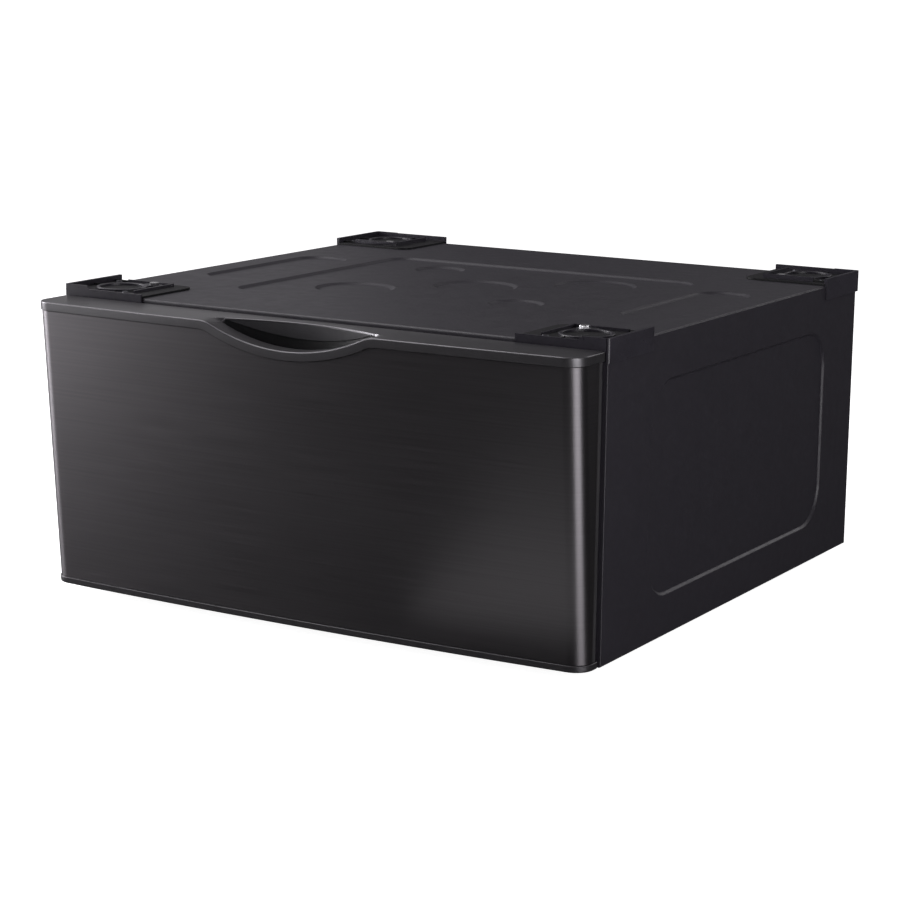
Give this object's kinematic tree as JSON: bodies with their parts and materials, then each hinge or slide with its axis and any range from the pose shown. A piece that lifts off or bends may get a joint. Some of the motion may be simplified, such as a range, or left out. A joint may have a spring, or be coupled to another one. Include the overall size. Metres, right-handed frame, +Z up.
{
  "type": "laundry pedestal with storage drawer",
  "caption": "Low steel pedestal for a front-loading washer, with a full-width pull-out drawer, dipped finger grip, corner seats and levelling legs.",
  "frame": {"origin": "floor level, under the middle of the bounding box", "axes": "+X to the right seen from the front, -Y towards the front of the drawer, +Z up"},
  "size_m": [0.6906, 0.7223, 0.3505],
  "materials": {
    "cabinet_paint": "satin powder coat, charcoal",
    "galvanised_steel": "zinc-coated sheet steel",
    "slide_steel": "bright zinc-plated rolled steel",
    "cage_brass": "yellow passivated strip",
    "ball_steel": "polished bearing steel",
    "zinc_plate": "zinc plated",
    "clamp_steel": "plain stamped steel",
    "cap_plastic": "moulded, fine texture",
    "black_stainless": "black brushed stainless, horizontal grain",
    "inner_panel_paint": "satin grey coat",
    "trim_plastic": "dark metallic plastic",
    "pocket_plastic": "moulded, fine texture",
    "drawer_paint": "light grey powder coat",
    "rubber": "matte black"
  },
  "bodies": {
    "cabinet": {"top_panel": "cabinet_paint", "left_side_panel": "cabinet_paint", "right_side_panel": "cabinet_paint", "rear_panel": "cabinet_paint", "front_top_rail": "galvanised_steel", "front_bottom_rail": "galvanised_steel", "rear_bottom_rail": "galvanised_steel", "left_base_rail": "galvanised_steel", "right_base_rail": "galvanised_steel", "leg_brackets": "galvanised_steel", "leg_weld_nuts": "zinc_plate", "leg_lock_nuts": "zinc_plate", "left_slide_carrier": "galvanised_steel", "right_slide_carrier": "galvanised_steel", "left_outer_slide": "slide_steel", "right_outer_slide": "slide_steel", "outer_slide_screws": "zinc_plate", "front_left_cap": "cap_plastic", "front_right_cap": "cap_plastic", "rear_left_cap": "cap_plastic", "rear_right_cap": "cap_plastic", "cap_clamps": "clamp_steel", "cap_bolts": "zinc_plate", "cap_weld_nuts": "zinc_plate", "cap_screws": "zinc_plate", "rear_panel_screws": "zinc_plate"},
    "drawer": {"front_skin": "black_stainless", "front_inner_panel": "inner_panel_paint", "front_top_trim": "trim_plastic", "front_bottom_trim": "trim_plastic", "handle_pocket": "pocket_plastic", "front_stiffeners": "galvanised_steel", "drawer_floor": "drawer_paint", "drawer_left_side": "drawer_paint", "drawer_right_side": "drawer_paint", "drawer_back": "drawer_paint", "left_inner_slide": "slide_steel", "right_inner_slide": "slide_steel", "inner_slide_screws": "zinc_plate", "front_panel_screws": "zinc_plate", "front_bumpers": "rubber"},
    "left_middle_member": {"left_middle_slide": "slide_steel"},
    "left_outer_cage": {"left_outer_ball_cage": "cage_brass", "left_outer_balls": "ball_steel"},
    "left_inner_cage": {"left_inner_ball_cage": "cage_brass", "left_inner_balls": "ball_steel"},
    "right_middle_member": {"right_middle_slide": "slide_steel"},
    "right_outer_cage": {"right_outer_ball_cage": "cage_brass", "right_outer_balls": "ball_steel"},
    "right_inner_cage": {"right_inner_ball_cage": "cage_brass", "right_inner_balls": "ball_steel"},
    "front_left_foot": {"front_left_leg": "zinc_plate", "front_left_foot_pad": "rubber"},
    "front_right_foot": {"front_right_leg": "zinc_plate", "front_right_foot_pad": "rubber"},
    "rear_left_foot": {"rear_left_leg": "zinc_plate", "rear_left_foot_pad": "rubber"},
    "rear_right_foot": {"rear_right_leg": "zinc_plate", "rear_right_foot_pad": "rubber"}
  },
  "joints": [
    {"name": "drawer_slide", "type": "slide", "parent": "cabinet", "child": "drawer", "axis": [0, -1, 0], "range_m": [0, 0.44]},
    {"name": "left_middle_member_travel", "type": "slide", "parent": "cabinet", "child": "left_middle_member", "axis": [0, -1, 0], "range_m": [0, 0.22]},
    {"name": "left_outer_cage_travel", "type": "slide", "parent": "cabinet", "child": "left_outer_cage", "axis": [0, -1, 0], "range_m": [0, 0.11]},
    {"name": "left_inner_cage_travel", "type": "slide", "parent": "cabinet", "child": "left_inner_cage", "axis": [0, -1, 0], "range_m": [0, 0.33]},
    {"name": "right_middle_member_travel", "type": "slide", "parent": "cabinet", "child": "right_middle_member", "axis": [0, -1, 0], "range_m": [0, 0.22]},
    {"name": "right_outer_cage_travel", "type": "slide", "parent": "cabinet", "child": "right_outer_cage", "axis": [0, -1, 0], "range_m": [0, 0.11]},
    {"name": "right_inner_cage_travel", "type": "slide", "parent": "cabinet", "child": "right_inner_cage", "axis": [0, -1, 0], "range_m": [0, 0.33]},
    {"name": "front_left_foot_screw", "type": "slide", "parent": "cabinet", "child": "front_left_foot", "axis": [0, 0, -1], "range_m": [0, 0.016]},
    {"name": "front_right_foot_screw", "type": "slide", "parent": "cabinet", "child": "front_right_foot", "axis": [0, 0, -1], "range_m": [0, 0.016]},
    {"name": "rear_left_foot_screw", "type": "slide", "parent": "cabinet", "child": "rear_left_foot", "axis": [0, 0, -1], "range_m": [0, 0.016]},
    {"name": "rear_right_foot_screw", "type": "slide", "parent": "cabinet", "child": "rear_right_foot", "axis": [0, 0, -1], "range_m": [0, 0.016]}
  ],
  "couplings": [
    {"joint": "left_middle_member_travel", "follows": "drawer_slide", "ratio": 0.5},
    {"joint": "left_outer_cage_travel", "follows": "drawer_slide", "ratio": 0.25},
    {"joint": "left_inner_cage_travel", "follows": "drawer_slide", "ratio": 0.75},
    {"joint": "right_middle_member_travel", "follows": "drawer_slide", "ratio": 0.5},
    {"joint": "right_outer_cage_travel", "follows": "drawer_slide", "ratio": 0.25},
    {"joint": "right_inner_cage_travel", "follows": "drawer_slide", "ratio": 0.75}
  ]
}
